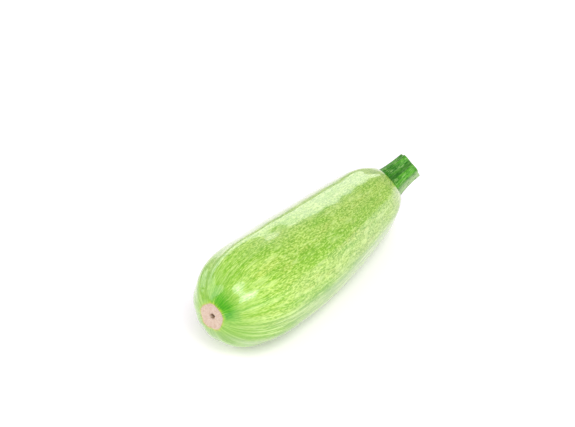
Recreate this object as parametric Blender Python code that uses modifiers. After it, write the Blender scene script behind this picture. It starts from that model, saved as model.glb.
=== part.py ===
"""Zucchini: one pale green summer squash with its cut stem, lying on its belly.

Metres, +Z up. The fruit lies along X with its blossom end at -X and its stem at
+X, and it bows a little towards -Y. The origin is on the surface it rests on,
under the middle of its bounding box.

Each piece is shaped in the fruit's own frame, which the resting frame then lays
down. In the fruit's own frame the axis is +Z, from the blossom end at 0 to the
end of the neck at BODY_LENGTH, +X is the side that ends up on top, and +Y is
the side that bows out. Angles are counted from +X towards +Y.
"""
import math

import bpy
import numpy as np

# Body of the fruit
BODY_LENGTH = 0.172
BELLY_RADIUS = 0.0253
WIDEST_AT = 0.337          # share of the length, from the blossom end
NECK_SHARE = 0.608         # neck radius as a share of the belly radius
TAPER_POWER = 1.5
BLOSSOM_CAP = 0.241        # share of the length that the rounded blossom end takes
BLOSSOM_POWERS = (2.50, 2.07)
NECK_CAP = 0.200           # share of the length that the rounded shoulder takes
NECK_POWERS = (2.235, 2.01)
BOW = 0.0045               # how far the middle stands off a straight axis
BOW_SKEW = 0.159           # shifts the bow towards the blossom end
NECK_RISE = 0.0030         # how far the end of the neck curves up and out
NECK_RISE_FROM = 0.55      # share of the length where that curve starts
NECK_RISE_TURN = math.radians(41.0)
BODY_RINGS = 30

# Ribs that run along the skin, strongest near both ends
RIB_COUNT = 10
RIB_MIDDLE = 0.008         # share of the radius
RIB_END = 0.020
RIB_TURN = math.radians(126.0)
RIB_FREE_NECK = 0.009      # smooth skin under the foot of the stem
RIB_FADE = 0.018
ANGULAR = 0.010            # slight three-sided fullness of the section
ANGULAR_TURN = math.radians(60.0)
STEPS_PER_RIB = 6

# Blossom scar: a shallow corky dish with a pit
SCAR_RADIUS = 0.0069
SCAR_DISH = 0.0004
SCAR_LOBES = 5
SCAR_LOBE_HEIGHT = 0.035   # share of the scar's radius
PIT_RADIUS = 0.0011
PIT_DEPTH = 0.0012

# Seat: the end of the neck is flat and slanted where the stem grows on it
SEAT_DEPTH = 0.0062                 # from the tip of the rounded neck down to its middle
SEAT_OFFSET = 0.0026                # its middle, off the fruit's axis
SEAT_SLOPE = math.radians(43.0)
SEAT_SOFTNESS = 0.0006              # how softly the seat runs into the shoulder
SEAT_FROM = (0.60, 0.85)            # shares of the length between which it sets in

# Stem: a bent column with five ribs, whose lobed foot reaches down over the shoulder
STEM_RIBS = 5
STEM_TURN = math.radians(71.0)      # angle of the rib that faces up and out
STEM_LEAN_TURN = math.radians(42.0)
STEM_LEANS = (math.radians(35.0), math.radians(44.0))    # off the axis, at foot and cut
STEM_LENGTH = 0.0167                # along its middle, from the seat to the cut
STEM_RADII = (0.0078, 0.0078)       # on a rib, at foot and cut
FURROW_DEPTH = 0.24                 # share of the column's radius
FURROW_POWER = 1.25
LOBE_DROP = 0.0028                  # how far below the seat a lobe of the foot ends
NOTCH_DROP = 0.0004
FOOT_REACH = (0.0112, 0.0094)       # most that a lobe and a notch stand from the middle
FOOT_EDGE = 0.0006                  # thickness of the foot's blunt edge
FLARE_POWER = 2.6
CUT_DISH = 0.0006
STEPS_PER_STEM_RIB = 10
GAP = 0.0004                        # clearance between the stem and the fruit
HALVINGS = 24                       # of the range in which the shoulder is looked for

# How it lies
RESTING_TILT = math.radians(3.5)    # the neck points down a little
FLAT_DEPTH = 0.0008                 # what the flat resting spot takes off the belly
CUTTER_SIZE = (0.120, 0.060, 0.020)

# Colours and finish
SKIN = {"colour": "AAD46A", "roughness": 0.38}
STALK = {"colour": "5E9E42", "roughness": 0.55}


def clear_scene():
    """Remove every object that is already there."""
    for thing in list(bpy.data.objects):
        bpy.data.objects.remove(thing, do_unlink=True)


def new_collection(name):
    group = bpy.data.collections.new(name)
    bpy.context.scene.collection.children.link(group)
    return group


def linear(hex_colour):
    """Linear RGBA from an sRGB hex colour."""
    channels = [int(hex_colour[i:i + 2], 16) / 255.0 for i in (0, 2, 4)]
    curve = [c / 12.92 if c <= 0.04045 else ((c + 0.055) / 1.055) ** 2.4 for c in channels]
    return (*curve, 1.0)


def new_material(name, colour, roughness):
    finish = bpy.data.materials.new(name)
    finish.use_nodes = True
    shader = finish.node_tree.nodes["Principled BSDF"]
    shader.inputs["Base Color"].default_value = linear(colour)
    shader.inputs["Roughness"].default_value = roughness
    shader.inputs["Metallic"].default_value = 0.0
    return finish


def smooth(share):
    """Ease from 0 to 1 as the share runs from 0 to 1."""
    share = np.clip(share, 0.0, 1.0)
    return share * share * (3.0 - 2.0 * share)


def body_radius(along):
    """Radius of the plain body at a distance from the blossom end.

    The belly tapers to the neck by a power of the distance past the widest
    place, and each end is closed by a superellipse.
    """
    share = np.clip(np.asarray(along) / BODY_LENGTH, 0.0, 1.0)
    past = np.clip((share - WIDEST_AT) / (1.0 - WIDEST_AT), 0.0, 1.0)
    radius = BELLY_RADIUS * (1.0 - (1.0 - NECK_SHARE) * past ** TAPER_POWER)
    for reach, (flat, sharp) in (
        (share / BLOSSOM_CAP, BLOSSOM_POWERS),
        ((1.0 - share) / NECK_CAP, NECK_POWERS),
    ):
        closing = np.clip(1.0 - reach, 0.0, 1.0)
        radius = radius * (1.0 - closing ** flat) ** (1.0 / sharp)
    return radius


def middle_line(along):
    """Offsets of the curved axis from a straight one, and their slopes.

    A sine arch bows the body towards +Y, and a parabola lifts the neck towards
    NECK_RISE_TURN. Both go on straight past the end of the neck.
    """
    share = np.asarray(along) / BODY_LENGTH
    inside = np.minimum(share, 1.0)
    phase = math.pi * inside
    arch = BOW * (np.sin(phase) + BOW_SKEW * np.sin(2.0 * phase))
    arch_slope = BOW * math.pi * (np.cos(phase) + 2.0 * BOW_SKEW * np.cos(2.0 * phase))
    risen = np.clip((inside - NECK_RISE_FROM) / (1.0 - NECK_RISE_FROM), 0.0, 1.0)
    rise = NECK_RISE * risen ** 2
    rise_slope = NECK_RISE * 2.0 * risen / (1.0 - NECK_RISE_FROM)
    arch = arch + arch_slope * (share - inside)
    rise = rise + rise_slope * (share - inside)
    turn_x, turn_y = math.cos(NECK_RISE_TURN), math.sin(NECK_RISE_TURN)
    offsets = (rise * turn_x, rise * turn_y + arch)
    slopes = (rise_slope * turn_x / BODY_LENGTH, (rise_slope * turn_y + arch_slope) / BODY_LENGTH)
    return offsets, slopes


def bend(points):
    """Carry points from a straight axis to the curved one, with each section square to it."""
    x, y, along = points.T
    (out_x, out_y), (slope_x, slope_y) = middle_line(along)
    return np.column_stack((x + out_x, y + out_y, along - x * slope_x - y * slope_y))


def scar_height():
    """Distance from the tip of the plain body to the circle that is the scar's edge."""
    along = np.linspace(0.0, BLOSSOM_CAP * BODY_LENGTH, 400)
    return float(np.interp(SCAR_RADIUS, body_radius(along), along))


def fruit_profile():
    """Half outline of the fruit as (radius, height), from the neck down to the pit."""
    edge = scar_height()
    sweep = 0.5 - 0.5 * np.cos(np.linspace(0.0, math.pi, BODY_RINGS))
    along = BODY_LENGTH + (edge - BODY_LENGTH) * sweep
    outline = list(zip(body_radius(along), along))
    outline[-1] = (SCAR_RADIUS, edge)
    outline += [
        (SCAR_RADIUS * 0.90, edge + SCAR_DISH * 0.7),
        (SCAR_RADIUS * 0.50, edge + SCAR_DISH),
        (PIT_RADIUS, edge + SCAR_DISH),
        (PIT_RADIUS * 0.6, edge + SCAR_DISH + PIT_DEPTH * 0.8),
        (0.0, edge + SCAR_DISH + PIT_DEPTH),
    ]
    return outline


def seat_frame():
    """Middle of the seat, and its directions: down the slope, across it, and square out."""
    turn_x, turn_y = math.cos(STEM_LEAN_TURN), math.sin(STEM_LEAN_TURN)
    slope = SEAT_SLOPE
    middle = np.array((SEAT_OFFSET * turn_x, SEAT_OFFSET * turn_y, BODY_LENGTH - SEAT_DEPTH))
    down = np.array((turn_x * math.cos(slope), turn_y * math.cos(slope), -math.sin(slope)))
    across = np.array((-turn_y, turn_x, 0.0))
    return middle, down, across, np.cross(down, across)


def flatten_seat(points):
    """Lower the tip of the neck to the slanted plane of the seat, with a soft rim."""
    middle, down, across, square = seat_frame()
    x, y, along = points.T
    plane = middle[2] - ((x - middle[0]) * square[0] + (y - middle[1]) * square[1]) / square[2]
    over = along - plane
    soft = SEAT_SOFTNESS * np.logaddexp(0.0, over / SEAT_SOFTNESS)
    near = smooth((along / BODY_LENGTH - SEAT_FROM[0]) / (SEAT_FROM[1] - SEAT_FROM[0]))
    return np.column_stack((x, y, along - soft * near))


def shape_fruit(points):
    """Give the turned body its ribs, the uneven scar, the seat of the stem and its bow."""
    x, y, along = points.T
    radius = np.hypot(x, y)
    angle = np.arctan2(y, x)
    share = along / BODY_LENGTH
    to_ends = 1.0 - 4.0 * share * (1.0 - share)
    off_scar = smooth((radius - SCAR_RADIUS) / SCAR_RADIUS)
    off_neck = smooth((BODY_LENGTH - along - RIB_FREE_NECK) / RIB_FADE)
    ribs = (RIB_MIDDLE + (RIB_END - RIB_MIDDLE) * to_ends) * np.cos(RIB_COUNT * (angle - RIB_TURN))
    fullness = ANGULAR * np.cos(3.0 * (angle - ANGULAR_TURN))
    on_scar = (1.0 - off_scar) * (along < BODY_LENGTH / 2)
    lobes = SCAR_LOBE_HEIGHT * np.cos(SCAR_LOBES * angle) * on_scar
    stretch = 1.0 + off_scar * off_neck * (ribs + fullness) + lobes
    return bend(flatten_seat(np.column_stack((x * stretch, y * stretch, along))))


def shoulder_reach(angle, drop):
    """Distance from the stem's middle line to the shoulder, at a drop below the seat.

    Found by halving the range between inside and outside of the body.
    """
    middle, down, across, square = seat_frame()
    turn = angle - STEM_LEAN_TURN
    aim = np.outer(np.cos(turn), down) + np.outer(np.sin(turn), across)
    start = middle - np.outer(drop, square)
    near, far = np.zeros_like(angle), np.full_like(angle, BELLY_RADIUS)
    for _ in range(HALVINGS):
        reach = (near + far) / 2.0
        x, y, along = (start + reach[:, None] * aim).T
        inside = np.hypot(x, y) < body_radius(along) + GAP
        near, far = np.where(inside, reach, near), np.where(inside, far, reach)
    return near


def stem_profile():
    """Half outline of a unit stem as (share of radius, share of height), cut end first.

    On the underside, a share of the radius over one half is on the shoulder
    below the seat, and under one half it is on the seat.
    """
    cut = [(0.0, 1.0), (0.5, 1.0), (0.93, 1.0)]
    side = [(1.0, h) for h in (0.985, 0.88, 0.76, 0.64, 0.52, 0.41, 0.31, 0.22, 0.14, 0.07, 0.02)]
    underside = [(share, 0.0) for share in (1.0, 0.83, 0.66, 0.50, 0.33, 0.17, 0.0)]
    return cut + side + underside


def column_points(share, angle, height):
    """Points of the column: ribbed sections square to a middle line that is an arc."""
    start, end = STEM_LEANS
    lean = start + (end - start) * height
    arc = STEM_LENGTH / (end - start)
    on_rib = STEM_RADII[0] + (STEM_RADII[1] - STEM_RADII[0]) * height
    furrow = (0.5 - 0.5 * np.cos(STEM_RIBS * (angle - STEM_TURN))) ** FURROW_POWER
    radius = share * on_rib * (1.0 - FURROW_DEPTH * furrow)
    turn = angle - STEM_LEAN_TURN
    forward, aside = radius * np.cos(turn), radius * np.sin(turn)
    dish = CUT_DISH * (1.0 - share) * (height == 1.0)
    out = arc * (math.cos(start) - np.cos(lean)) + forward * np.cos(lean) - dish * np.sin(lean)
    up = arc * (np.sin(lean) - math.sin(start)) - forward * np.sin(lean) - dish * np.cos(lean)
    turn_x, turn_y = math.cos(STEM_LEAN_TURN), math.sin(STEM_LEAN_TURN)
    middle = seat_frame()[0]
    return middle + np.column_stack((
        out * turn_x - aside * turn_y, out * turn_y + aside * turn_x, up))


def foot_points(share, angle, raised):
    """Points of the underside, flat on the seat and then down over the shoulder.

    A lobe lies below each rib, and a lobe that ends on the seat has no drop.
    Raised points are the outer edge of the foot.
    """
    middle, down, across, square = seat_frame()
    between = 0.5 - 0.5 * np.cos(STEM_RIBS * (angle - STEM_TURN))
    most = FOOT_REACH[0] + (FOOT_REACH[1] - FOOT_REACH[0]) * between
    drop = LOBE_DROP + (NOTCH_DROP - LOBE_DROP) * between
    rim = shoulder_reach(angle, 0.0 * drop)
    lowest = shoulder_reach(angle, drop)
    reach = np.minimum(lowest, most)
    over = np.clip((reach - rim) / (lowest - rim), 0.0, 1.0)
    drop = drop * over * np.clip(2.0 * share - 1.0, 0.0, 1.0)
    reach = reach * np.clip(2.0 * share, 0.0, 1.0) + FOOT_EDGE * raised
    turn = angle - STEM_LEAN_TURN
    forward, aside = reach * np.cos(turn), reach * np.sin(turn)
    height = GAP + 0.5 * FOOT_EDGE * raised - drop
    return middle + np.outer(forward, down) + np.outer(aside, across) + np.outer(height, square)


def shape_stem(points):
    """Carry the unit stem onto the neck: underside, flared foot, ribs, bend and cut.

    The side is a blend from the foot's edge to the column, and the foot's share
    of it is a power of the height that is left.
    """
    share = np.hypot(points[:, 0], points[:, 1])
    angle = np.arctan2(points[:, 1], points[:, 0])
    height = points[:, 2]
    foot = foot_points(share, angle, height > 0.0)
    left = ((1.0 - height) ** FLARE_POWER)[:, None]
    return bend(left * foot + (1.0 - left) * column_points(share, angle, height))


def turned(name, profile, steps, group):
    """Mesh object of a profile turned a full circle round Z by a Screw modifier."""
    mesh = bpy.data.meshes.new(name + "_outline")
    edges = [(i, i + 1) for i in range(len(profile) - 1)]
    mesh.from_pydata([(radius, 0.0, height) for radius, height in profile], edges, [])
    outline = bpy.data.objects.new(name + "_outline", mesh)
    group.objects.link(outline)
    screw = outline.modifiers.new("turn", "SCREW")
    screw.axis = "Z"
    screw.angle = math.tau
    screw.steps = steps
    screw.render_steps = steps
    screw.use_merge_vertices = True
    screw.merge_threshold = 0.00001
    bpy.context.view_layer.update()
    ready = outline.evaluated_get(bpy.context.evaluated_depsgraph_get())
    solid = bpy.data.objects.new(name, bpy.data.meshes.new_from_object(ready))
    solid.data.name = name
    group.objects.link(solid)
    bpy.data.objects.remove(outline, do_unlink=True)
    return solid


def points_of(piece):
    flat = np.empty(len(piece.data.vertices) * 3)
    piece.data.vertices.foreach_get("co", flat)
    return flat.reshape(-1, 3)


def move_points(piece, points):
    piece.data.vertices.foreach_set("co", points.ravel())
    piece.data.shade_smooth()
    piece.data.set_sharp_from_angle(angle=math.radians(40.0))
    piece.data.update()


def build_fruit(group, frame):
    fruit = turned("fruit", fruit_profile(), RIB_COUNT * STEPS_PER_RIB, group)
    move_points(fruit, shape_fruit(points_of(fruit)))
    fruit.data.materials.append(new_material("zucchini_skin", **SKIN))
    fruit.parent = frame
    return fruit


def build_stem(group, frame):
    stem = turned("stem", stem_profile(), STEM_RIBS * STEPS_PER_STEM_RIB, group)
    move_points(stem, shape_stem(points_of(stem)))
    stem.data.materials.append(new_material("zucchini_stem", **STALK))
    stem.parent = frame
    return stem


def resting_frame(group):
    """Empty that lays the fruit down: its axis along +X, its bowed side towards -Y."""
    frame = bpy.data.objects.new("resting_frame", None)
    frame.rotation_euler = (math.pi, RESTING_TILT - math.pi / 2.0, 0.0)
    group.objects.link(frame)
    return frame


def settle(frame, pieces):
    """Move the frame so that the flat spot is at height 0 and the box is centred."""
    bpy.context.view_layer.update()
    turn = np.array(frame.matrix_world.to_3x3())
    laid = np.vstack([points_of(piece) for piece in pieces]) @ turn.T
    low, high = laid.min(axis=0), laid.max(axis=0)
    middle = (low + high) / 2.0
    frame.location = (-middle[0], -middle[1], -(low[2] + FLAT_DEPTH))


def cut_resting_spot(fruit, group):
    """Take the lowest part of the belly off flat, so that the fruit doesn't roll."""
    bpy.ops.mesh.primitive_cube_add(size=1.0, location=(0.0, 0.0, -CUTTER_SIZE[2] / 2.0))
    block = bpy.context.active_object
    block.name = "resting_cutter"
    block.scale = CUTTER_SIZE
    bpy.ops.object.transform_apply(location=False, rotation=False, scale=True)
    for holder in list(block.users_collection):
        holder.objects.unlink(block)
    group.objects.link(block)
    block.display_type = "WIRE"
    block.hide_render = True
    cut = fruit.modifiers.new("resting_spot", "BOOLEAN")
    cut.operation = "DIFFERENCE"
    cut.solver = "EXACT"
    cut.object = block


def main():
    clear_scene()
    parts = new_collection("zucchini")
    cutters = new_collection("cutters")
    frame = resting_frame(parts)
    fruit = build_fruit(parts, frame)
    stem = build_stem(parts, frame)
    settle(frame, [fruit, stem])
    cut_resting_spot(fruit, cutters)


main()
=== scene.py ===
# %% [markdown]
# # A pale green zucchini
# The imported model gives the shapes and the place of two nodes: the fruit and its
# stem. They could be shown as they are, but their facets would break up the
# highlights. So this lesson builds a finely detailed surface for each from the
# same formulas, and gives each a material that follows how it grew.

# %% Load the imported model
import math

import bpy
import numpy as np
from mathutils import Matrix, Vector


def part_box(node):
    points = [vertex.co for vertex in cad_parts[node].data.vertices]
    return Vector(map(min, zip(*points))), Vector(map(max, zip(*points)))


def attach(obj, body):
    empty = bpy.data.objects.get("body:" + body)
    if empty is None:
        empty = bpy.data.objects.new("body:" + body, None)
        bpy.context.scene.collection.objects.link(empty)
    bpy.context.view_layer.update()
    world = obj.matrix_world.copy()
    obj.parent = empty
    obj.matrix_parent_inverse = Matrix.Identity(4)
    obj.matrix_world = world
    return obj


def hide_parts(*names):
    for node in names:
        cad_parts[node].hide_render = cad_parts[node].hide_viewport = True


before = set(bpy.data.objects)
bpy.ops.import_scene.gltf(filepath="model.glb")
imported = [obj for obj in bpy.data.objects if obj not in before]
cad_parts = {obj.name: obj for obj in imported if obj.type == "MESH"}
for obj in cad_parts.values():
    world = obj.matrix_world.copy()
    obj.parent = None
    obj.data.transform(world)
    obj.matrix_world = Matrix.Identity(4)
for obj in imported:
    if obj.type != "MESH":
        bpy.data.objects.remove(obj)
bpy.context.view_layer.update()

# %% [markdown]
# ## The body
# The fruit swells from the flower's end, is thickest a third of the way along and
# thins to a neck, and it bows a little because it grew on the ground. It could be
# sculpted, but a radius that is a function of the place along the axis can be
# matched to a photo one value at a time, so that is what is used here.
#
# Every surface is first written round a straight axis: +Z runs from the blossom
# end to the neck, +X is the side that ends up on top, and +Y is the side that
# bows out. Angles count from +X towards +Y. Sizes are in metres.

# %% Sizes of the body
BODY_LENGTH = 0.172
BELLY_RADIUS = 0.0253
WIDEST_AT = 0.337                      # share of the length
NECK_SHARE = 0.608                     # of the belly's radius
TAPER_POWER = 1.5
BLOSSOM_CAP, BLOSSOM_POWERS = 0.241, (2.50, 2.07)
NECK_CAP, NECK_POWERS = 0.200, (2.235, 2.01)
BOW, BOW_SKEW = 0.0045, 0.159
NECK_RISE, NECK_RISE_FROM, NECK_RISE_TURN = 0.0030, 0.55, math.radians(41.0)
RESTING_TILT = math.radians(3.5)
FLAT_DEPTH = 0.0008
print("body", BODY_LENGTH * 1000, "mm long,", BELLY_RADIUS * 2000, "mm thick")

# %% Outline and curved axis of the body


def smooth(share):
    """Ease from 0 to 1: three times the square less twice the cube."""
    share = np.clip(share, 0.0, 1.0)
    return share * share * (3.0 - 2.0 * share)


def body_radius(along):
    """Belly that tapers by a power of the distance past its widest place.

    Each end is closed by a superellipse: one minus a power of what is left,
    to a root near the square root.
    """
    share = np.clip(along / BODY_LENGTH, 0.0, 1.0)
    past = np.clip((share - WIDEST_AT) / (1.0 - WIDEST_AT), 0.0, 1.0)
    radius = BELLY_RADIUS * (1.0 - (1.0 - NECK_SHARE) * past ** TAPER_POWER)
    for reach, (flat, sharp) in (
        (share / BLOSSOM_CAP, BLOSSOM_POWERS),
        ((1.0 - share) / NECK_CAP, NECK_POWERS),
    ):
        closing = np.clip(1.0 - reach, 0.0, 1.0)
        radius = radius * (1.0 - closing ** flat) ** (1.0 / sharp)
    return radius


def bend(x, y, along):
    """Carry points to the curved axis: a skewed sine arch and a parabola at the neck.

    Each section is lowered by its offset times the axis's slope, which keeps it
    square to the axis.
    """
    share = along / BODY_LENGTH
    inside = np.minimum(share, 1.0)
    phase = math.pi * inside
    arch = BOW * (np.sin(phase) + BOW_SKEW * np.sin(2.0 * phase))
    arch_slope = BOW * math.pi * (np.cos(phase) + 2.0 * BOW_SKEW * np.cos(2.0 * phase))
    risen = np.clip((inside - NECK_RISE_FROM) / (1.0 - NECK_RISE_FROM), 0.0, 1.0)
    rise_slope = NECK_RISE * 2.0 * risen / (1.0 - NECK_RISE_FROM)
    rise = NECK_RISE * risen ** 2 + rise_slope * (share - inside)
    arch = arch + arch_slope * (share - inside)
    turn_x, turn_y = math.cos(NECK_RISE_TURN), math.sin(NECK_RISE_TURN)
    slope_x, slope_y = rise_slope * turn_x, rise_slope * turn_y + arch_slope
    lowered = along - (x * slope_x + y * slope_y) / BODY_LENGTH
    return np.stack((x + rise * turn_x, y + rise * turn_y + arch, lowered), axis=-1)


print("neck radius in mm", round(float(body_radius(np.array(0.75 * BODY_LENGTH))) * 1000, 1))

# %% [markdown]
# ## The skin's relief
# Ten faint ribs run the length of the fruit, one over each bundle of fibres, and
# grow stronger towards its ends. Between them the skin has low lumps, a few
# centimetres long, which keep the highlights from being ruler straight. Bump in
# the material could fake both, but a rib shows in the outline, so both are
# cosines that are added to the radius.

# %% Ribs and lumps
RIB_COUNT, RIB_TURN = 10, math.radians(126.0)
RIB_MIDDLE, RIB_END = 0.008, 0.020
RIB_FREE_NECK, RIB_FADE = 0.009, 0.018
ANGULAR, ANGULAR_TURN = 0.010, math.radians(60.0)
LUMP_HEIGHT, LUMP_WAVES = 0.00008, 14


def ribs(angle, along):
    """Share by which the radius grows: a cosine for the ribs and one for a three-sided fullness."""
    share = along / BODY_LENGTH
    to_ends = 1.0 - 4.0 * share * (1.0 - share)
    height = RIB_MIDDLE + (RIB_END - RIB_MIDDLE) * to_ends
    return (height * np.cos(RIB_COUNT * (angle - RIB_TURN))
            + ANGULAR * np.cos(3.0 * (angle - ANGULAR_TURN)))


def lumps(angle, along):
    """Height of a sum of seeded waves, whole turns round the fruit and 15 to 60 mm along it."""
    draw = np.random.default_rng(5)
    height = np.zeros(np.broadcast(angle, along).shape)
    for _ in range(LUMP_WAVES):
        turns, length = draw.integers(1, 9), draw.uniform(0.015, 0.060)
        phase_a, phase_b = draw.uniform(0.0, math.tau, 2)
        height += np.cos(turns * angle + phase_a) * np.cos(math.tau * along / length + phase_b)
    return LUMP_HEIGHT * height / math.sqrt(LUMP_WAVES)


print("rib height at the belly in mm", round(RIB_MIDDLE * BELLY_RADIUS * 1000, 2))

# %% [markdown]
# ## The scar and the seat
# The flower left a corky scar at the blossom end: a shallow dish with a thin lip,
# a slightly five-cornered outline and a pit. It could be a disc of its own, but it
# has grown in one piece with the skin, so it is relief on the same surface. At the
# other end the neck is flat and slanted where the stem grows on it. A soft
# minimum with a plane makes that, and rounds its rim in the same step.

# %% Scar and seat
SCAR_RADIUS, SCAR_DISH, SCAR_LIP = 0.0069, 0.0004, 0.00018
SCAR_LOBES, SCAR_LOBE_HEIGHT = 5, 0.035
LIP_AT, LIP_WIDTH, PIT_RIM = 0.93, 0.05, 1.25      # shares of the scar's and the pit's radius
PIT_RADIUS, PIT_LONG, PIT_DEPTH, PIT_TURN = 0.0011, 0.22, 0.0012, math.radians(75.0)
SEAT_DEPTH, SEAT_OFFSET, SEAT_SLOPE = 0.0062, 0.0026, math.radians(43.0)
SEAT_SOFTNESS, SEAT_FROM = 0.0006, (0.60, 0.85)
STEM_LEAN_TURN = math.radians(42.0)
GAP = 0.00005                          # between the stem's foot and the skin


def scar_height():
    """Distance from the tip of the plain body to the circle that is the scar's edge."""
    along = np.linspace(0.0, BLOSSOM_CAP * BODY_LENGTH, 400)
    return float(np.interp(SCAR_RADIUS, body_radius(along), along))


def scar_relief(radius, angle):
    """How deep the cork lies: a dish, less a lip at its edge, and a pit with a soft rim."""
    share = radius / SCAR_RADIUS
    pit = PIT_RADIUS * (1.0 + PIT_LONG * np.cos(2.0 * (angle - PIT_TURN)))
    return (SCAR_DISH * (1.0 - share ** 2)
            - SCAR_LIP * np.exp(-((share - LIP_AT) / LIP_WIDTH) ** 2)
            + PIT_DEPTH * smooth(PIT_RIM - radius / pit))


def seat_frame():
    """Middle of the seat, and its directions: down the slope, across it, and square out."""
    turn_x, turn_y = math.cos(STEM_LEAN_TURN), math.sin(STEM_LEAN_TURN)
    middle = np.array((SEAT_OFFSET * turn_x, SEAT_OFFSET * turn_y, BODY_LENGTH - SEAT_DEPTH))
    level, steep = math.cos(SEAT_SLOPE), math.sin(SEAT_SLOPE)
    down = np.array((turn_x * level, turn_y * level, -steep))
    across = np.array((-turn_y, turn_x, 0.0))
    return middle, down, across, np.cross(down, across)


def flatten_seat(x, y, along):
    """Lower the tip of the neck to the slanted plane of the seat, with a soft rim."""
    middle, _, _, square = seat_frame()
    plane = middle[2] - ((x - middle[0]) * square[0] + (y - middle[1]) * square[1]) / square[2]
    soft = SEAT_SOFTNESS * np.logaddexp(0.0, (along - plane) / SEAT_SOFTNESS)
    start, full = SEAT_FROM
    return along - soft * smooth((along / BODY_LENGTH - start) / (full - start))


print("scar edge lies", round(scar_height() * 1000, 2), "mm from the tip")

# %% [markdown]
# ## One surface for the fruit
# The skin is one closed sheet from the scar to the neck. It could be joined from
# parts, but seams would show in the gloss. So it is a function of two numbers: how
# far round, and how far from the middle of the scar to the tip of the neck. It
# also gives each point its place on the skin, in metres round and along. The
# material reads that, so its marks follow the bow of the fruit.

# %% Surface of the fruit
SCAR_PART = 0.16                       # share of the rings that the scar takes
RINGS, STEPS = 330, 288


def fruit_surface(turn, way):
    """Point and skin place for shares of a full turn and of the way to the neck.

    Skin place: a circle of the belly's radius for the way round, and the length
    of the outline for the way along.
    """
    turn, way = np.broadcast_arrays(turn, way)
    angle = math.tau * turn
    edge = scar_height()
    on_scar = np.clip(way / SCAR_PART, 0.0, 1.0)
    on_body = np.clip((way - SCAR_PART) / (1.0 - SCAR_PART), 0.0, 1.0)
    sweep = 0.5 - 0.5 * np.cos(math.pi * on_body)
    along = edge + (BODY_LENGTH - edge) * sweep
    radius = np.where(on_body > 0.0, body_radius(along), SCAR_RADIUS * on_scar)
    arc = np.cumsum(np.hypot(np.diff(radius, axis=0, prepend=0.0),
                             np.diff(along, axis=0, prepend=edge)), axis=0)
    off_scar = smooth((radius - SCAR_RADIUS) / SCAR_RADIUS)
    off_neck = smooth((BODY_LENGTH - along - RIB_FREE_NECK) / RIB_FADE)
    corners = SCAR_LOBE_HEIGHT * np.cos(SCAR_LOBES * angle) * (1.0 - off_scar) * (way < 0.5)
    stretch = 1.0 + off_scar * off_neck * ribs(angle, along) + corners
    bumpy = radius * stretch + off_scar * off_neck * lumps(angle, along)
    along = along + scar_relief(radius, angle) * (on_body == 0.0)
    x, y = bumpy * np.cos(angle), bumpy * np.sin(angle)
    points = bend(x, y, flatten_seat(x, y, along))
    place = np.stack((BELLY_RADIUS * np.cos(angle), BELLY_RADIUS * np.sin(angle), arc), axis=-1)
    return points, place


turn, way = np.arange(STEPS)[None, :] / STEPS, np.linspace(0.0, 1.0, RINGS)[:, None]
fruit_points, fruit_place = fruit_surface(turn, way)
print("fruit grid", fruit_points.shape[:2])

# %% [markdown]
# ## The stem
# A five-ribbed column bends up and out from the seat. Its foot flares into a lobe
# below each rib, and the lobes reach down over the shoulder. It was cut with a
# knife, so its end is flat, and it dries to a shallow dish. It could be carried
# along a curve, but such a profile can't widen into lobes on a round shoulder. So
# two surfaces are worked out, the column and the foot, and one is blended into
# the other.

# %% Sizes of the stem
STEM_RIBS, STEM_TURN = 5, math.radians(71.0)
STEM_LEANS = (math.radians(35.0), math.radians(44.0))
STEM_LENGTH, STEM_RADII = 0.0167, (0.0078, 0.0078)
FURROW_DEPTH, FURROW_POWER = 0.24, 1.25
LOBE_DROP, NOTCH_DROP = 0.0028, 0.0004
FOOT_REACH, FOOT_EDGE, FLARE_POWER = (0.0112, 0.0094), 0.0006, 2.6
CUT_DISH, HALVINGS = 0.0006, 24
FIBRE_HEIGHT, FIBRE_COUNTS = 0.00007, (17, 23, 31, 38, 46, 57)
print("stem", STEM_LENGTH * 1000, "mm long,", STEM_RADII[0] * 2000, "mm across its ribs")

# %% Column and foot of the stem


def fibres(angle):
    """Height of fine lengthwise fibres: a sum of cosines with seeded phases."""
    phases = np.random.default_rng(11).uniform(0.0, math.tau, len(FIBRE_COUNTS))
    return FIBRE_HEIGHT * sum(np.cos(n * angle + p) for n, p in zip(FIBRE_COUNTS, phases)) / 2.0


def column(share, angle, height):
    """Ribbed sections square to a middle line that is an arc."""
    start, end = STEM_LEANS
    lean = start + (end - start) * height
    arc = STEM_LENGTH / (end - start)
    on_rib = STEM_RADII[0] + (STEM_RADII[1] - STEM_RADII[0]) * height
    furrow = (0.5 - 0.5 * np.cos(STEM_RIBS * (angle - STEM_TURN))) ** FURROW_POWER
    radius = share * (on_rib * (1.0 - FURROW_DEPTH * furrow) + fibres(angle))
    forward, aside = radius * np.cos(angle - STEM_LEAN_TURN), radius * np.sin(angle - STEM_LEAN_TURN)
    dish = CUT_DISH * (1.0 - share) * (height == 1.0)
    out = arc * (math.cos(start) - np.cos(lean)) + forward * np.cos(lean) - dish * np.sin(lean)
    up = arc * (np.sin(lean) - math.sin(start)) - forward * np.sin(lean) - dish * np.cos(lean)
    turn_x, turn_y = math.cos(STEM_LEAN_TURN), math.sin(STEM_LEAN_TURN)
    offset = np.stack((out * turn_x - aside * turn_y, out * turn_y + aside * turn_x, up), axis=-1)
    return seat_frame()[0] + offset


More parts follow.
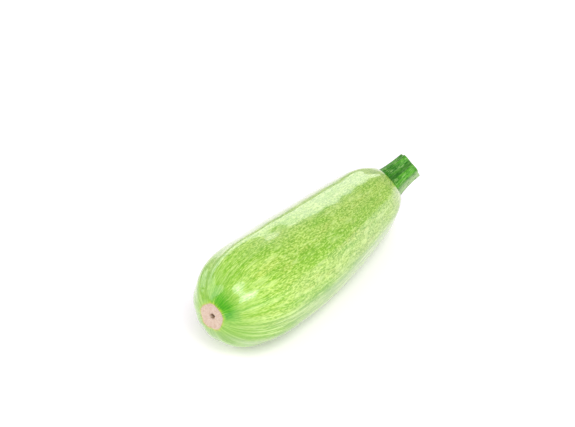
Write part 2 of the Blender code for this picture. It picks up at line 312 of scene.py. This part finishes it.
def shoulder_reach(angle, drop):
    """Distance from the middle line to the shoulder at a drop below the seat, by halving."""
    middle, down, across, square = seat_frame()
    turn = (angle - STEM_LEAN_TURN)[..., None]
    aim = np.cos(turn) * down + np.sin(turn) * across
    start = middle - drop[..., None] * square
    near, far = np.zeros_like(angle), np.full_like(angle, BELLY_RADIUS)
    for _ in range(HALVINGS):
        reach = (near + far) / 2.0
        spot = start + reach[..., None] * aim
        inside = np.hypot(spot[..., 0], spot[..., 1]) < body_radius(spot[..., 2]) + GAP
        near, far = np.where(inside, reach, near), np.where(inside, far, reach)
    return near


def foot(share, angle, raised):
    """Underside: flat on the seat, then down over the shoulder in a lobe below each rib."""
    middle, down, across, square = seat_frame()
    between = 0.5 - 0.5 * np.cos(STEM_RIBS * (angle - STEM_TURN))
    most = FOOT_REACH[0] + (FOOT_REACH[1] - FOOT_REACH[0]) * between
    drop = LOBE_DROP + (NOTCH_DROP - LOBE_DROP) * between
    rim, lowest = shoulder_reach(angle, 0.0 * drop), shoulder_reach(angle, drop)
    reach = np.minimum(lowest, most)
    over = np.clip((reach - rim) / (lowest - rim), 0.0, 1.0)
    drop = drop * over * np.clip(2.0 * share - 1.0, 0.0, 1.0)
    reach = reach * np.clip(2.0 * share, 0.0, 1.0) + FOOT_EDGE * raised
    turn = (angle - STEM_LEAN_TURN)[..., None]
    height = GAP + 0.5 * FOOT_EDGE * raised - drop
    return (middle + reach[..., None] * (np.cos(turn) * down + np.sin(turn) * across)
            + height[..., None] * square)


# %% Surface of the stem
CUT_PART, SIDE_PART = 0.25, 0.80       # shares of the rings where the cut and the side end
STEM_RINGS, STEM_STEPS = 220, 300
FOOT_TOP, RING_CROWDING = 0.02, 1.3    # lowest ring of the side, and how rings crowd to the foot


def stem_surface(turn, way):
    """Point, skin place, share of the radius and depth in a furrow, for a turn and a way.

    The way runs from the middle of the cut to the middle of the foot's underside.
    The side is a blend from the foot's edge to the column, and the foot's share
    of it is a power of the height that is left.
    """
    turn, way = np.broadcast_arrays(turn, way)
    angle = math.tau * turn
    on_cut = np.clip(way / CUT_PART, 0.0, 1.0)
    on_side = np.clip((way - CUT_PART) / (SIDE_PART - CUT_PART), 0.0, 1.0)
    under = np.clip((way - SIDE_PART) / (1.0 - SIDE_PART), 0.0, 1.0)
    share = on_cut * (1.0 - under)
    height = FOOT_TOP + (1.0 - FOOT_TOP) * (1.0 - on_side) ** RING_CROWDING
    height = np.where(on_cut < 1.0, 1.0, np.where(under > 0.0, 0.0, height))
    left = ((1.0 - height) ** FLARE_POWER)[..., None]
    raised = (height > 0.0) * 1.0
    points = left * foot(share, angle, raised) + (1.0 - left) * column(share, angle, height)
    place = np.stack((STEM_RADII[0] * np.cos(angle), STEM_RADII[0] * np.sin(angle),
                      height * STEM_LENGTH), axis=-1)
    furrow = 0.5 - 0.5 * np.cos(STEM_RIBS * (angle - STEM_TURN))
    return bend(points[..., 0], points[..., 1], points[..., 2]), place, share, furrow


turn, way = np.arange(STEM_STEPS)[None, :] / STEM_STEPS, np.linspace(0.0, 1.0, STEM_RINGS)[:, None]
stem_points, stem_place, stem_share, stem_furrow = stem_surface(turn, way)
print("stem grid", stem_points.shape[:2])

# %% [markdown]
# ## Laying it down
# The fruit lies on its belly, with a small flat spot under its weight. The objects
# could be turned in the scene, but the export wants them unturned at the origin.
# So the points themselves are turned: the axis to +X with the neck a little low,
# and the bowed side to -Y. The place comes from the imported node's box.

# %% Into the shared frame


def lay_down(points):
    """Turn the fruit's own frame to the resting one by the resting tilt."""
    cos, sin = math.cos(RESTING_TILT), math.sin(RESTING_TILT)
    x, y, along = points[..., 0], points[..., 1], points[..., 2]
    return np.stack((along * cos + x * sin, -y, x * cos - along * sin), axis=-1)


fruit_points, stem_points = lay_down(fruit_points), lay_down(stem_points)
low, high = (np.array(corner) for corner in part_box("fruit"))
shift = (low + high) / 2.0 - (fruit_points.min(axis=(0, 1)) + fruit_points.max(axis=(0, 1))) / 2.0
shift[0] = low[0] - fruit_points[..., 0].min()
shift[2] = -(fruit_points[..., 2].min() + FLAT_DEPTH)
fruit_points, stem_points = fruit_points + shift, stem_points + shift
fruit_points[..., 2] = np.maximum(fruit_points[..., 2], 0.0)
print("moved by", np.round(shift * 1000, 2).tolist(), "mm")

# %% [markdown]
# ## From grids to meshes
# The real skin has no hole and no seam, and neither has the mesh. A grid could
# stay open at its ends, but a baked or printed copy needs a closed one. So the
# grid turns into quads between the rings and a fan of triangles at each pole, and
# each value that the material reads is kept as an attribute of the points.

# %% Mesh from a grid


def closed_skin(name, points, **attributes):
    """Mesh object of a grid that closes round and comes to a point at its first and last ring."""
    rings, steps = points.shape[:2]
    corner = np.arange(steps)
    after = (corner + 1) % steps
    start = 1 + np.arange(rings - 3)[:, None] * steps
    quads = np.stack((start + corner, start + steps + corner,
                      start + steps + after, start + after), axis=-1)
    last = 1 + (rings - 2) * steps
    top = np.stack((np.zeros_like(corner), 1 + corner, 1 + after), axis=-1)
    tail = np.stack((np.full_like(corner, last), last - steps + after, last - steps + corner), axis=-1)
    flat = {key: pole_to_pole(grid) for key, grid in attributes.items()}
    mesh = bpy.data.meshes.new(name)
    faces = [*top.tolist(), *quads.reshape(-1, 4).tolist(), *tail.tolist()]
    mesh.from_pydata(pole_to_pole(points), [], faces)
    for key, values in flat.items():
        kind, field = ("FLOAT_VECTOR", "vector") if values.ndim == 2 else ("FLOAT", "value")
        mesh.attributes.new(key, kind, "POINT").data.foreach_set(field, values.ravel())
    mesh.shade_smooth()
    mesh.update()
    piece = bpy.data.objects.new(name, mesh)
    bpy.context.scene.collection.objects.link(piece)
    return piece


def pole_to_pole(grid):
    """One value for each vertex: a pole, the rings between, and the other pole."""
    inner = grid[1:-1].reshape(-1, *grid.shape[2:])
    return np.concatenate((grid[:1].mean(axis=1), inner, grid[-1:].mean(axis=1)))


fruit_skin = closed_skin("fruit_skin", fruit_points, place=fruit_place)
stem_skin = closed_skin("stem_skin", stem_points,
                        place=stem_place, share=stem_share, furrow=stem_furrow)
for piece, node in ((fruit_skin, "fruit"), (stem_skin, "stem")):
    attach(piece, "root")
    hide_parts(node)
print("polygons", len(fruit_skin.data.polygons), len(stem_skin.data.polygons))

# %% [markdown]
# ## Materials
# Both materials are built from nodes, because their marks then stay sharp at any
# distance and need no picture. Colours are given as the eye sees them and turned
# linear by one function. One more function adds a node with its settings and its
# links.

# %% Colour and node helpers
EASED = {"interpolation_type": "SMOOTHSTEP"}       # for a share that starts and ends gently


def linear(hex_colour):
    """Linear RGBA of an sRGB hex colour, by the standard curve."""
    channels = [int(hex_colour[i:i + 2], 16) / 255.0 for i in (0, 2, 4)]
    return (*[c / 12.92 if c <= 0.04045 else ((c + 0.055) / 1.055) ** 2.4 for c in channels], 1.0)


def add(tree, kind, settings, links=()):
    """Add a node, set its inputs or options by name, and link sockets into its inputs."""
    node = tree.nodes.new("ShaderNode" + kind)
    for key, value in settings.items():
        if isinstance(key, str) and hasattr(node, key):
            setattr(node, key, value)
    for key, value in settings.items():
        if not (isinstance(key, str) and hasattr(node, key)):
            node.inputs[key].default_value = linear(value) if isinstance(value, str) else value
    for key, socket in dict(links).items():
        tree.links.new(socket, node.inputs[key])
    return node


def new_surface(piece, name, settings):
    """Give a piece a new material and return its node tree and its shader."""
    material = bpy.data.materials.new(name)
    material.use_nodes = True
    piece.data.materials.append(material)
    shader = material.node_tree.nodes["Principled BSDF"]
    for key, value in settings.items():
        shader.inputs[key].default_value = value
    return material.node_tree, shader


# %% [markdown]
# ### Skin
# Young squash rind under its own thin wax. Wax bends light like most plant oils,
# by about 1.45, and gives the eye two highlights: a broad, dull one from the rind
# (roughness 0.30 to 0.40) and a crisp one from the wax (a coat of roughness 0.07).
# A little light enters the flesh and softens the edges of shadows. The wax could
# be a second mesh, but it is thinner than a hair, so a coat in the shader is
# enough.
#
# The marks were drawn out as the fruit grew. So the place on the skin is first
# squeezed lengthwise, which makes round noise long.

# %% Skin: coordinates
skin, skin_shader = new_surface(fruit_skin, "zucchini_skin", {
    "IOR": 1.45, "Specular IOR Level": 0.25, "Subsurface Weight": 0.18, "Subsurface Scale": 0.0025,
    "Subsurface Radius": (1.0, 1.0, 0.45), "Coat Weight": 0.9, "Coat Roughness": 0.07,
})
place = add(skin, "Attribute", {"attribute_name": "place"}).outputs["Vector"]
way_along = add(skin, "SeparateXYZ", {}, {"Vector": place}).outputs["Z"]
LONG, BAND, LINE = 0.30, 0.2, 0.045    # marks grow 3, 5 and 22 times as long as wide
long_place, band_place, line_place = (
    add(skin, "VectorMath", {"operation": "MULTIPLY", 1: (1.0, 1.0, squeeze)}, {0: place}).outputs[0]
    for squeeze in (LONG, BAND, LINE)
)
warp = add(skin, "TexNoise", {"Scale": 900.0, "Detail": 2.0}, {"Vector": long_place}).outputs["Color"]
warped = add(skin, "VectorMath", {"operation": "MULTIPLY_ADD", 1: (0.0011,) * 3},
             {0: warp, 2: long_place}).outputs[0]
print("skin coordinates ready")

# %% [markdown]
# ### Flecks
# Pale flecks, 1 to 2 mm long, show where the skin's pores are. They could be
# painted, but there are thousands. Voronoi cells 3.4 and 2.4 mm wide place one
# spot each, and the colour of a cell, which is random, decides how large its spot
# is.

# %% Skin: flecks
flecks = []
for size, reach, stretched in ((0.0034, 0.62, warped), (0.0024, 0.52, band_place)):
    cells = add(skin, "TexVoronoi", {"Scale": 1.0 / size, "Randomness": 1.0}, {"Vector": stretched})
    chance = add(skin, "SeparateColor", {}, {"Color": cells.outputs["Color"]}).outputs[0]
    limit = add(skin, "MapRange", {"From Min": 0.15, "To Min": 0.12, "To Max": reach},
                {"Value": chance}).outputs[0]
    fleck = add(skin, "MapRange", {**EASED, "From Min": 0.06, "To Min": 1.0, "To Max": 0.0},
                {"Value": cells.outputs["Distance"], "From Max": limit}).outputs[0]
    flecks.append(fleck)
all_flecks = add(skin, "Math", {"operation": "MAXIMUM"}, {0: flecks[0], 1: flecks[1]}).outputs[0]
print("fleck layers", len(flecks))

# %% [markdown]
# ### Net, lines and broad shades
# Under the flecks lies a fine net of darker and paler green, with grains about
# 0.6 mm wide. Thin lines 1.2 mm apart run together at the scar and show again low
# on the flank, where the skin saw less sun. Shades 6 to 8 mm wide make long bands.
# Each of these is noise that is eased between two values, and the noise's scale
# counts its features to a metre of skin, so it comes from the real width.

# %% Skin: noise that is eased to a share
NET_SCALE, LINE_SCALE = 1750.0, 820.0  # features to a metre: 0.57 and 1.2 mm wide
GREENER_SCALE, YELLOWER_SCALE = 120.0, 170.0       # 8.3 and 5.9 mm wide


def shade(scale, vector, low, high, most=1.0, detail=2.0):
    """Noise eased from 0 to its most between a low and a high value."""
    noise = add(skin, "TexNoise", {"Scale": scale, "Detail": detail, "Roughness": 0.6},
                {"Vector": vector}).outputs[0]
    return add(skin, "MapRange", {**EASED, "From Min": low, "From Max": high,
                                  "To Max": most}, {"Value": noise}).outputs[0]


print("a grain of the net is", round(1000.0 / NET_SCALE, 2), "mm wide")

# %% Skin: net, lines and broad shades
dark_net = shade(NET_SCALE, long_place, 0.54, 0.40, 0.85, 3.0)
pale_net = shade(NET_SCALE, long_place, 0.51, 0.65, 0.8, 3.0)
greener = shade(GREENER_SCALE, band_place, 0.42, 0.60)
elsewhere = add(skin, "VectorMath", {"operation": "ADD", 1: (0.3, 0.1, 0.2)},
                {0: band_place}).outputs[0]
yellower = shade(YELLOWER_SCALE, elsewhere, 0.52, 0.68, 0.5)
pale_lines = shade(LINE_SCALE, line_place, 0.52, 0.62)
dark_lines = shade(LINE_SCALE, line_place, 0.48, 0.38)
near_scar = add(skin, "MapRange", {**EASED, "From Min": 0.009, "From Max": 0.050,
                                   "To Min": 0.6, "To Max": 0.15}, {"Value": way_along}).outputs[0]
upness = add(skin, "SeparateXYZ", {}, {"Vector": place}).outputs["X"]
# painted_low_shade is painted shade: a deeper green, darker towards the floor on the lower flank.
# lined_flank is where the lengthwise lines show.
painted_low_shade, lined_flank = (
    add(skin, "MapRange", {**EASED, "From Min": high * BELLY_RADIUS, "From Max": low * BELLY_RADIUS,
                           "To Max": most}, {"Value": upness}).outputs[0]
    for high, low, most in ((0.4, -0.7, 0.75), (0.5, -0.35, 0.8))
)
lined = add(skin, "Math", {"operation": "MAXIMUM"}, {0: near_scar, 1: lined_flank}).outputs[0]
print("net and lines ready")

# %% [markdown]
# ### Colours
# A rind has layers: green deep down, paler cells over it and specks on top. They
# could be weighed in one formula, but laying each colour over the last, by a
# share, is easier to tune: each line changes one thing that the eye sees.

# %% Skin: colours from the base up


def over(tree, base, top, shares, strength=1.0):
    """Lay a hex colour over a colour, by the product of some shares and a strength."""
    first, *others = shares
    share = add(tree, "Math", {"operation": "MULTIPLY", 1: strength}, {0: first}).outputs[0]
    for other in others:
        share = add(tree, "Math", {"operation": "MULTIPLY"}, {0: share, 1: other}).outputs[0]
    return add(tree, "MixRGB", {"Color2": top}, {"Fac": share, "Color1": base}).outputs[0]


colour = add(skin, "MixRGB", {"Color1": "B0D35A", "Color2": "92C636"}, {"Fac": greener}).outputs[0]
colour = over(skin, colour, "BECC5E", [yellower])
# Lighter and yellower towards the neck: partly the neck's own yellower tone, partly painted light that
# makes up for the light falling off there.
neck = add(skin, "MapRange", {**EASED, "From Min": 0.095, "From Max": 0.180,
                              "To Max": 0.6}, {"Value": way_along}).outputs[0]
colour = over(skin, colour, "B8D85C", [neck])
colour = over(skin, colour, "72AA1E", [dark_net])
colour = over(skin, colour, "CBE87C", [pale_net])
colour = over(skin, colour, "D2EC8C", [all_flecks], 0.6)
# Painted shade: a deeper green laid on the lower flank.
colour = over(skin, colour, "80B244", [painted_low_shade], 0.9)
colour = over(skin, colour, "6CA62C", [dark_lines, lined], 0.9)
colour = over(skin, colour, "C8E68C", [pale_lines, lined], 0.8)
print("skin base colours ready")

# %% [markdown]
# ### The patch by the scar
# Beside the scar the skin was shaded by the dead flower and stayed a deep green.
# The patch could be drawn by hand. Here it is the product of three shares: how
# near to the scar, how far the skin faces one turn, and a ragged noise.

# %% Skin: the deep green patch by the scar
# Painted shade: the skin is darkened towards the blossom end, which lies nearest the soft box.
painted_end_shade = add(skin, "MapRange", {**EASED, "From Min": 0.012, "From Max": 0.034,
                                     "To Min": 0.5, "To Max": 0.0}, {"Value": way_along}).outputs[0]
colour = over(skin, colour, "74AC2C", [painted_end_shade])
PATCH_TURN = math.radians(42.0)
RAGGED_SCALE = 420.0                   # 2.4 mm wide


def turned_to(tree, place, turn, radius):
    """How far a place faces a turn: the dot product of both directions, 1 where they agree."""
    towards = (math.cos(turn) / radius, math.sin(turn) / radius, 0.0)
    return add(tree, "VectorMath", {"operation": "DOT_PRODUCT", 1: towards},
               {0: place}).outputs["Value"]


facing = turned_to(skin, place, PATCH_TURN, BELLY_RADIUS)
facing = add(skin, "MapRange", {**EASED, "From Min": 0.45, "From Max": 0.97},
             {"Value": facing}).outputs[0]
close = add(skin, "MapRange", {**EASED, "From Min": 0.0095, "From Max": 0.0175,
                               "To Min": 1.0, "To Max": 0.0}, {"Value": way_along}).outputs[0]
ragged = shade(RAGGED_SCALE, long_place, 0.25, 0.46)
patch = [facing, close, ragged]
colour = over(skin, colour, "48A200", patch)
colour = over(skin, colour, "1E7C00", [*patch, dark_net], 0.6)
colour = over(skin, colour, "A8DC50", [pale_lines, near_scar, close], 0.3)
print("patch faces", round(math.degrees(PATCH_TURN)), "degrees")

# %% [markdown]
# ### The scar
# Cork is dry, matt and pinkish brown, with a grain under 1 mm, and a yellowish and
# then rusty rim where it meets the skin. A material of its own would need its own
# faces and a hard border. Distance from the middle of the scar, which the way
# along gives, makes soft rings instead.

# %% Skin: rim of the scar
RING_SCALE, RUST_SCALE = 520.0, 700.0              # breaks of 1.9 and 1.4 mm
ring = add(skin, "MapRange", {**EASED, "From Min": 0.0066, "From Max": 0.0084,
                              "To Min": 1.0, "To Max": 0.0}, {"Value": way_along}).outputs[0]
colour = over(skin, colour, "B4D23C", [ring, shade(RING_SCALE, long_place, 0.40, 0.62)], 0.75)
rust = add(skin, "MapRange", {**EASED, "From Min": 0.0065, "From Max": 0.0073,
                              "To Min": 1.0, "To Max": 0.0}, {"Value": way_along}).outputs[0]
colour = over(skin, colour, "B89A58", [rust, shade(RUST_SCALE, long_place, 0.38, 0.60)], 0.8)
print("scar edge at", round(SCAR_RADIUS * 1000, 1), "mm")

# %% Skin: cork and pit
CORK_SCALE = 1500.0                    # grain of 0.7 mm
on_scar = add(skin, "MapRange", {**EASED, "From Min": 0.0061, "From Max": 0.0066,
                                 "To Min": 1.0, "To Max": 0.0}, {"Value": way_along}).outputs[0]
grain = add(skin, "TexNoise", {"Scale": CORK_SCALE, "Detail": 4.0, "Roughness": 0.65},
            {"Vector": add(skin, "TexCoord", {}).outputs["Object"]}).outputs[0]
grain_share = add(skin, "MapRange", {"From Min": 0.35, "From Max": 0.70}, {"Value": grain}).outputs[0]
cork = add(skin, "MixRGB", {"Color1": "D2C2AE", "Color2": "B89A82"}, {"Fac": grain_share}).outputs[0]
cork = over(skin, cork, "B48B72", [dark_lines], 0.5)
in_pit = add(skin, "MapRange", {**EASED, "From Min": 0.0009, "From Max": 0.0019,
                                "To Min": 1.0, "To Max": 0.0}, {"Value": way_along}).outputs[0]
cork = over(skin, cork, "7C6248", [in_pit])
colour = add(skin, "MixRGB", {}, {"Fac": on_scar, "Color1": colour, "Color2": cork}).outputs[0]
skin.links.new(colour, skin_shader.inputs["Base Color"])
print("pit", PIT_RADIUS * 2000, "mm across")

# %% [markdown]
# ### Gloss and fine relief
# Pores of 0.9 mm and waves of 4 mm break up the wax's highlights. They are lower
# than a fifth of a millimetre, far below what a mesh can carry, so they are bump.
# On the scar the cork's grain takes their place, and the surface is rough all over.

# %% Skin: gloss and fine relief
PORE_SCALE, WAVE_SCALE = 1100.0, 260.0             # 0.9 and 3.8 mm wide
pores = add(skin, "TexNoise", {"Scale": PORE_SCALE, "Detail": 3.0}, {"Vector": long_place}).outputs[0]
waves = add(skin, "TexNoise", {"Scale": WAVE_SCALE, "Detail": 2.0}, {"Vector": long_place}).outputs[0]
height = add(skin, "Math", {"operation": "MULTIPLY_ADD", 1: 1.2}, {0: waves, 2: pores}).outputs[0]
height = add(skin, "Math", {"operation": "MULTIPLY_ADD", 1: 0.35},
             {0: all_flecks, 2: height}).outputs[0]
height = add(skin, "MixRGB", {}, {"Fac": on_scar, "Color1": height, "Color2": grain}).outputs[0]
relief = add(skin, "Bump", {"Strength": 0.28, "Distance": 0.00020}, {"Height": height}).outputs[0]
skin.links.new(relief, skin_shader.inputs["Normal"])
rough = add(skin, "MapRange", {"To Min": 0.30, "To Max": 0.40}, {"Value": pores}).outputs[0]
rough = add(skin, "MixRGB", {"Color2": (0.8, 0.8, 0.8, 1.0)},
            {"Fac": on_scar, "Color1": rough}).outputs[0]
skin.links.new(rough, skin_shader.inputs["Roughness"])
print("skin nodes", len(skin.nodes))

# %% [markdown]
# ### Stem
# A fibrous green stalk without wax. Water in the fibres bends light by about 1.40,
# and fine hairs make it rough (0.42 to 0.62) and dull the shine. Pale streaks
# under 1 mm wide follow the fibres. They could be modelled as grooves, but most
# are colour alone, so noise that is squeezed lengthwise draws them, and gives
# them a slight bump.

# %% Stem: coordinates and streaks
stalk, stalk_shader = new_surface(stem_skin, "zucchini_stem", {
    "IOR": 1.40, "Specular IOR Level": 0.3, "Subsurface Weight": 0.08,
    "Subsurface Scale": 0.002, "Subsurface Radius": (1.0, 1.0, 0.45),
})
STREAK_SCALE, STEM_PATCH_SCALE, FUZZ_SCALE = 1700.0, 520.0, 1500.0     # 0.6, 1.9 and 0.7 mm wide
place = add(stalk, "Attribute", {"attribute_name": "place"}).outputs["Vector"]
radial = add(stalk, "Attribute", {"attribute_name": "share"}).outputs["Fac"]
height = add(stalk, "SeparateXYZ", {}, {"Vector": place}).outputs["Z"]
fibre_place = add(stalk, "VectorMath", {"operation": "MULTIPLY", 1: (1.0, 1.0, 0.16)},
                  {0: place}).outputs[0]
streaks = add(stalk, "TexNoise", {"Scale": STREAK_SCALE, "Detail": 3.0, "Roughness": 0.6},
              {"Vector": fibre_place}).outputs[0]
pale = add(stalk, "MapRange", {**EASED, "From Min": 0.50, "From Max": 0.66,
                               "To Max": 0.6}, {"Value": streaks}).outputs[0]
patches = add(stalk, "TexNoise", {"Scale": STEM_PATCH_SCALE, "Detail": 3.0},
              {"Vector": fibre_place}).outputs[0]
patches = add(stalk, "MapRange", {**EASED, "From Min": 0.40, "From Max": 0.62},
              {"Value": patches}).outputs[0]
print("streaks ready")

# %% [markdown]
# ### Colours of the stem
# One side gets a painted pale sheen, the rib beside it a little painted light, the
# furrows painted shade, which is weaker on the sheen side; the foot ends in a pale
# border that is partly a painted highlight, and the cut is dry and whitish. The
# sides are found by a dot product with the direction that each one faces, the
# furrows and the cut by values that the mesh carries.

# %% Stem: colours of its sides
colour = add(stalk, "MixRGB", {"Color1": "1E6A08", "Color2": "4C9C22"}, {"Fac": patches}).outputs[0]
colour = over(stalk, colour, "9CC47A", [pale])
# Painted sheen: the side that faces PALE_TURN is made pale, as light caught by fine hairs would look.
PALE_TURN = math.radians(122.0)
painted_sheen = turned_to(stalk, place, PALE_TURN, STEM_RADII[0])
painted_sheen = add(stalk, "MapRange", {**EASED, "From Min": 0.60, "From Max": 0.97,
                                   "To Max": 0.75}, {"Value": painted_sheen}).outputs[0]
colour = over(stalk, colour, "B4CC9C", [painted_sheen])
# Painted light: the rib that faces STEM_TURN is made a lighter green.
painted_rib_light = turned_to(stalk, place, STEM_TURN, STEM_RADII[0])
painted_rib_light = add(stalk, "MapRange", {**EASED, "From Min": 0.70, "From Max": 1.0,
                              "To Max": 0.12}, {"Value": painted_rib_light}).outputs[0]
colour = over(stalk, colour, "74BC44", [painted_rib_light])
print("bleached side faces", round(math.degrees(PALE_TURN)), "degrees")

# %% Stem: fuzz and furrows
grain_place = add(stalk, "VectorMath", {"operation": "MULTIPLY", 1: (1.0, 1.0, 0.45)},
                  {0: place}).outputs[0]
fuzz = add(stalk, "TexNoise", {"Scale": FUZZ_SCALE, "Detail": 3.0, "Roughness": 0.65},
           {"Vector": grain_place}).outputs[0]
light_fuzz = add(stalk, "MapRange", {**EASED, "From Min": 0.50, "From Max": 0.66,
                                     "To Max": 0.42}, {"Value": fuzz}).outputs[0]
dark_fuzz = add(stalk, "MapRange", {**EASED, "From Min": 0.48, "From Max": 0.34,
                                    "To Max": 0.7}, {"Value": fuzz}).outputs[0]
colour = over(stalk, colour, "8CC060", [light_fuzz])
colour = over(stalk, colour, "226E0E", [dark_fuzz])
# Painted shade: the furrows are darkened, less so on the side with the painted sheen.
painted_furrow_shade = add(stalk, "Attribute", {"attribute_name": "furrow"}).outputs["Fac"]
painted_furrow_shade = add(stalk, "MapRange", {**EASED, "From Min": 0.62, "From Max": 0.98,
                               "To Max": 0.75}, {"Value": painted_furrow_shade}).outputs[0]
less_on_sheen = add(stalk, "Math", {"operation": "SUBTRACT", 0: 0.85}, {1: painted_sheen}).outputs[0]
colour = over(stalk, colour, "1C5E0C", [painted_furrow_shade, less_on_sheen])
print("fuzz and furrows ready")

# %% Stem: border, cut and relief
# Pale border at the foot's edge: partly the foot's own pale rim, partly a painted highlight where the
# shoulder catches light.
border = add(stalk, "MapRange", {**EASED, "From Min": 0.0004, "From Max": 0.0016,
                                 "To Min": 0.85, "To Max": 0.0}, {"Value": height}).outputs[0]
colour = over(stalk, colour, "D3E29A", [border])
at_cut = add(stalk, "MapRange", {**EASED, "From Min": STEM_LENGTH - 0.0004,
                                 "From Max": STEM_LENGTH - 0.0001}, {"Value": height}).outputs[0]
rind = add(stalk, "MapRange", {**EASED, "From Min": 0.80, "From Max": 0.98},
           {"Value": radial}).outputs[0]
face = add(stalk, "MixRGB", {"Color1": "DFE3BE", "Color2": "7FAE5C"}, {"Fac": rind}).outputs[0]
colour = add(stalk, "MixRGB", {}, {"Fac": at_cut, "Color1": colour, "Color2": face}).outputs[0]
stalk.links.new(colour, stalk_shader.inputs["Base Color"])
relief = add(stalk, "Bump", {"Strength": 0.5, "Distance": 0.00025}, {"Height": streaks}).outputs[0]
stalk.links.new(relief, stalk_shader.inputs["Normal"])
rough = add(stalk, "MapRange", {"To Min": 0.42, "To Max": 0.62}, {"Value": streaks}).outputs[0]
stalk.links.new(rough, stalk_shader.inputs["Roughness"])
print("stem nodes", len(stalk.nodes))

# %% [markdown]
# ## Setting
# The photo was taken on white paper in even light. A curved backdrop could be
# built, but a large floor that glows a little, under a white world, also comes out
# white up to the edge of the picture and keeps the soft shadow. Its colour is a
# little short of green, to take back some of the green that the fruit throws on it.

# %% Floor and world
FLOOR_REACH = 6.0
floor_mesh = bpy.data.meshes.new("floor")
corners = [(x * FLOOR_REACH, y * FLOOR_REACH, 0.0)
           for x, y in ((-1, -1), (1, -1), (1, 1), (-1, 1))]
floor_mesh.from_pydata(corners, [], [(0, 1, 2, 3)])
floor = bpy.data.objects.new("floor", floor_mesh)
bpy.context.scene.collection.objects.link(floor)
white = bpy.data.materials.new("white_floor")
white.use_nodes = True
paper = white.node_tree.nodes["Principled BSDF"].inputs
paper["Base Color"].default_value = (0.95, 0.87, 0.97, 1.0)
paper["Roughness"].default_value = 0.8
paper["Emission Color"].default_value = (1.0, 1.0, 1.0, 1.0)
paper["Emission Strength"].default_value = 0.18
floor_mesh.materials.append(white)
world = bpy.data.worlds.new("studio")
world.use_nodes = True
sky = world.node_tree.nodes["Background"].inputs
sky["Color"].default_value = (1.0, 1.0, 1.0, 1.0)
sky["Strength"].default_value = 0.43
bpy.context.scene.world = world
print("floor and world ready")

# %% [markdown]
# ### Lights
# The wax mirrors each light, so their places are read from the highlights. A long
# panel low behind the fruit draws the long strip. A large soft box in front, with a
# brighter middle, draws the one like a window by the scar. A fill at the side
# lifts the blossom end. Area lights are used because their shape shows in the
# gloss, which a point or a sun would lose.

# %% Lights
FRUIT_MIDDLE = Vector((0.0, 0.0, 0.03))


def panel(name, turn, rise, distance, size, power):
    """Area light at a compass turn and rise in degrees, aimed at the middle of the fruit."""
    turn, rise = math.radians(turn), math.radians(rise)
    data = bpy.data.lights.new(name, "AREA")
    data.shape, data.size, data.size_y, data.energy = "RECTANGLE", *size, power
    light = bpy.data.objects.new(name, data)
    away = Vector((math.cos(turn) * math.cos(rise), math.sin(turn) * math.cos(rise), math.sin(rise)))
    light.location = FRUIT_MIDDLE + distance * away
    light.rotation_mode = "QUATERNION"
    light.rotation_quaternion = (-away).to_track_quat("-Z", "Y")
    light.visible_camera = False
    bpy.context.scene.collection.objects.link(light)
    return light


panel("back_panel", 53.0, 19.0, 0.9, (1.8, 0.28), 2.9)
panel("soft_box", -134.0, 43.0, 1.7, (1.15, 1.15), 19.0)
panel("bright_middle", -134.0, 43.0, 1.65, (0.75, 0.75), 6.5)
panel("side_fill", 122.0, 26.0, 0.9, (0.6, 0.6), 2.4)
print("four panels ready")

# %% [markdown]
# ### Camera
# The fruit shrinks little with distance, so the photo was taken with a long lens
# from almost a metre. A camera could be set by eye, but place, direction and lens
# trade off against each other, so they were fitted together to the outline.

# %% Camera
CAMERA_AT = Vector((-0.7119, -0.4081, 0.5038))
CAMERA_LOOK = Vector((0.7473, 0.4466, -0.4919))
lens = bpy.data.cameras.new("camera")
lens.lens, lens.sensor_width = 119.41, 36.0
camera = bpy.data.objects.new("camera", lens)
camera.location = CAMERA_AT
camera.rotation_mode = "QUATERNION"
camera.rotation_quaternion = CAMERA_LOOK.to_track_quat("-Z", "Y")
bpy.context.scene.collection.objects.link(camera)
bpy.context.scene.camera = camera
bpy.context.scene.view_settings.view_transform = "Standard"
print("camera", round(CAMERA_AT.length, 3), "m away")
